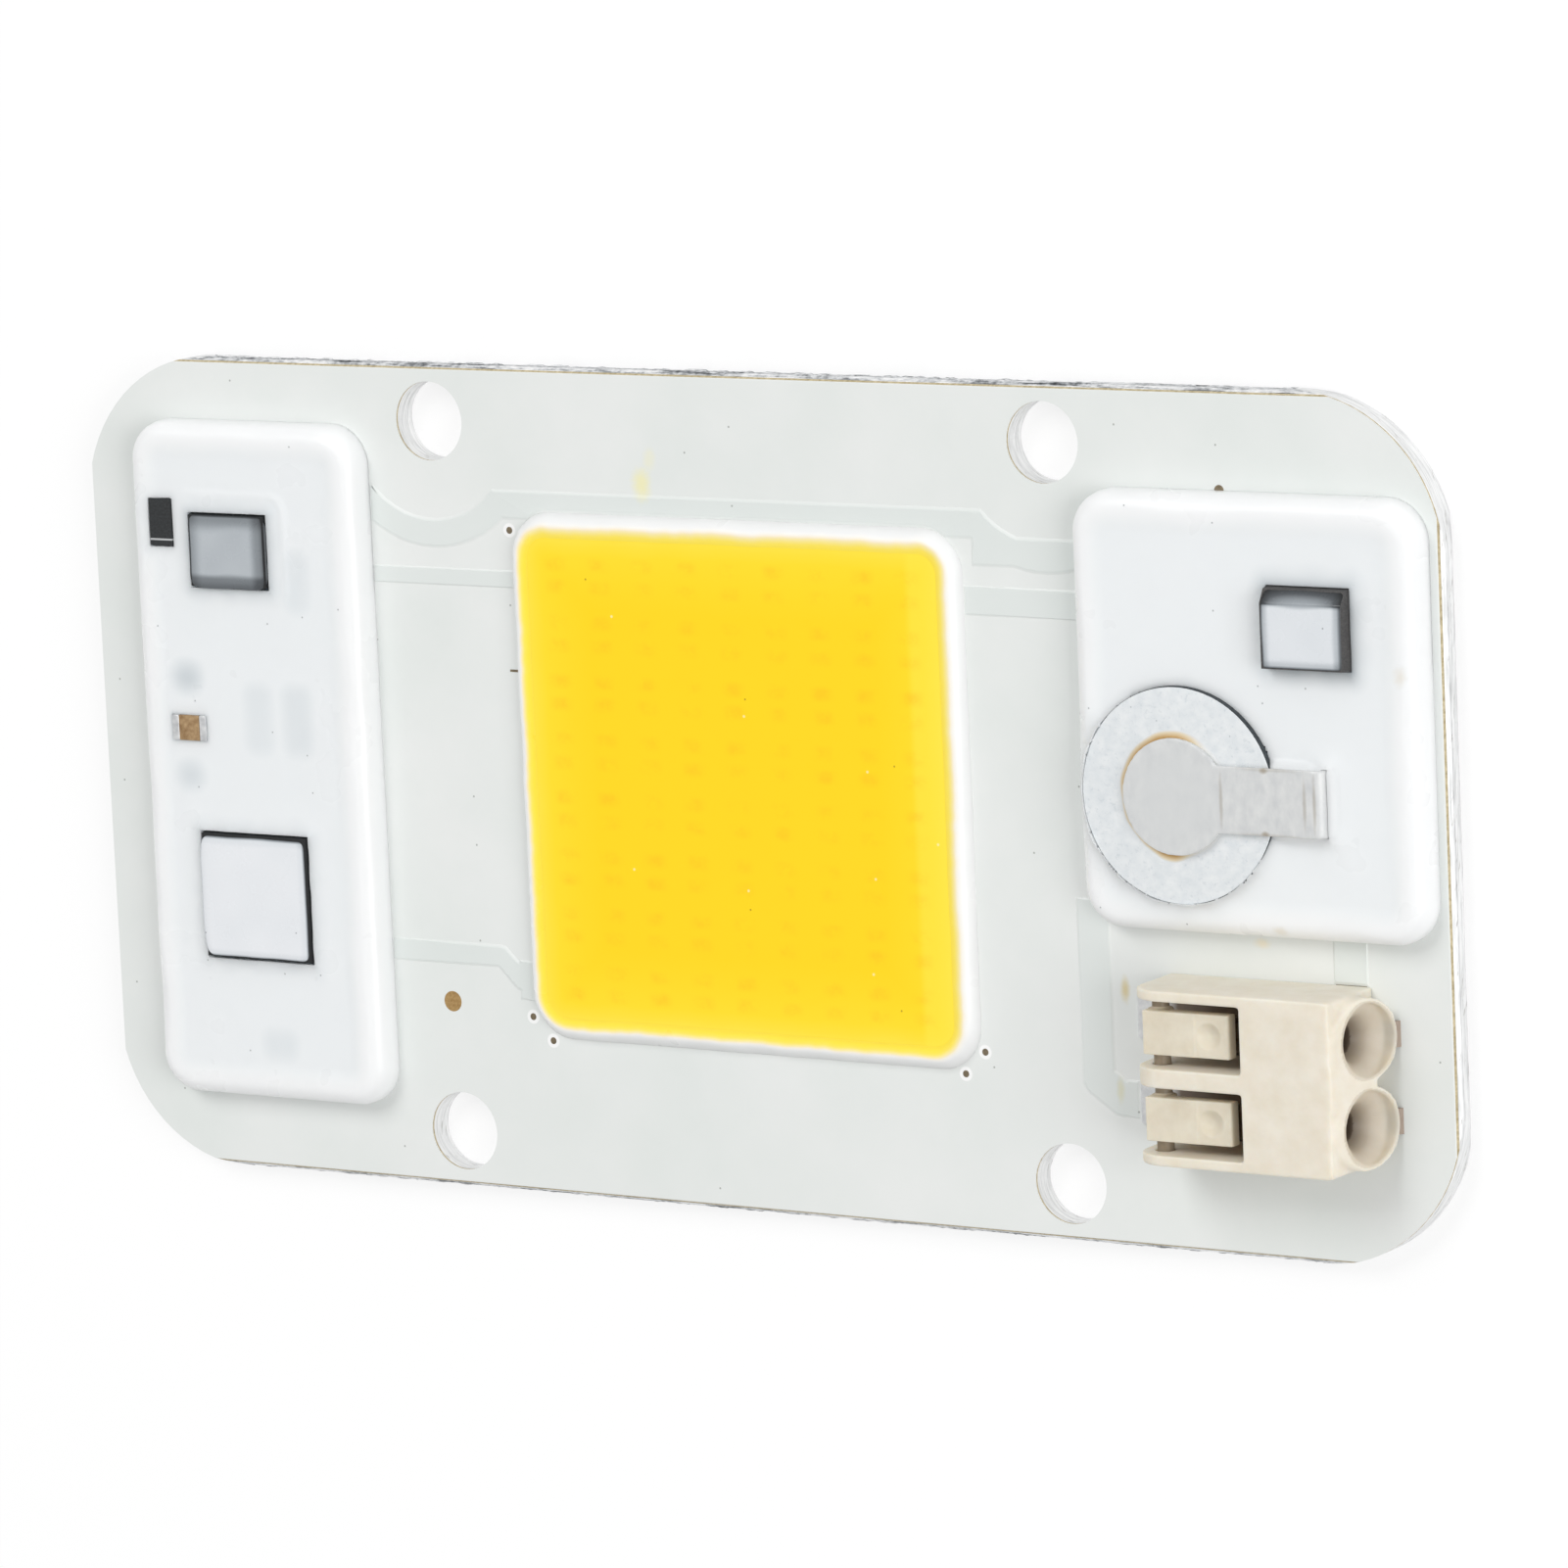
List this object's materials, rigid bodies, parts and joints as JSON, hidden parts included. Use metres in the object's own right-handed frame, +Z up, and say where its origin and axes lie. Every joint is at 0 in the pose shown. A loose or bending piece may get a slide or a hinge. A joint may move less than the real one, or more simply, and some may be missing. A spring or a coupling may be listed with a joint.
{
  "type": "led chip",
  "caption": "Mains chip-on-board light module: square phosphor field on an aluminium board, potted driver parts on both sides, push-in terminal with release keys and screw holes.",
  "frame": {"origin": "centre of the board's back face, which is the lowest face", "axes": "+X along the board towards the terminal, +Y across it towards the potted rectifier, +Z up out of the light field"},
  "size_m": [0.075, 0.04, 0.0055],
  "materials": {
    "aluminium": "rolled face with sheared edges",
    "dielectric": "filled resin",
    "copper": "bare copper with a gold flash",
    "mask": "white satin mask",
    "dam_silicone": "white silicone",
    "phosphor": "yellow phosphor in clear silicone",
    "die": "polished sapphire",
    "gold": "drawn wire",
    "potting": "white silicone with a soft sheen",
    "package": "black moulding compound",
    "diode": "dark grey moulding compound",
    "tinned": "matt tin",
    "capacitor": "fired ceramic",
    "coat": "thin silicone skin",
    "zinc_ceramic": "dark sintered oxide",
    "silver": "fired silver paste",
    "strap": "tinned copper strip",
    "solder": "solder with flux",
    "housing": "cream heat-proof moulding",
    "key": "cream heat-proof moulding",
    "contact": "tinned copper alloy",
    "spring": "spring steel"
  },
  "bodies": {
    "module": {"base_plate": "aluminium", "dielectric_layer": "dielectric", "copper_layer": "copper", "solder_mask": "mask", "silicone_dam": "dam_silicone", "phosphor_gel": "phosphor", "led_dies": "die", "bond_wires": "gold", "left_potting": "potting", "right_potting": "potting", "driver_ic": "package", "driver_ic_leads": "tinned", "power_ic": "package", "power_ic_leads": "tinned", "bridge_rectifier": "package", "rectifier_leads": "tinned", "signal_diode": "diode", "diode_leads": "tinned", "ceramic_capacitor": "capacitor", "capacitor_caps": "tinned", "chip_resistors": "package", "resistor_caps": "tinned", "package_coats": "coat", "varistor_disc": "zinc_ceramic", "varistor_electrodes": "silver", "varistor_strap": "strap", "strap_solder": "solder", "terminal_housing": "housing", "contact_clip_1": "contact", "contact_clip_2": "contact", "clamp_spring_1": "spring", "clamp_spring_2": "spring", "terminal_solder": "solder"},
    "key_1": {"release_key_1": "key"},
    "key_2": {"release_key_2": "key"}
  },
  "joints": [
    {"name": "key_1_press", "type": "hinge", "parent": "module", "child": "key_1", "pos_m": [0.0238, -0.009, 0.00415], "axis": [0, 1, 0], "range_deg": [0, 9], "stiffness_Nm_per_rad": 0.02, "deforming": ["clamp_spring_1"]},
    {"name": "key_2_press", "type": "hinge", "parent": "module", "child": "key_2", "pos_m": [0.0238, -0.013, 0.00415], "axis": [0, 1, 0], "range_deg": [0, 9], "stiffness_Nm_per_rad": 0.02, "deforming": ["clamp_spring_2"]}
  ]
}
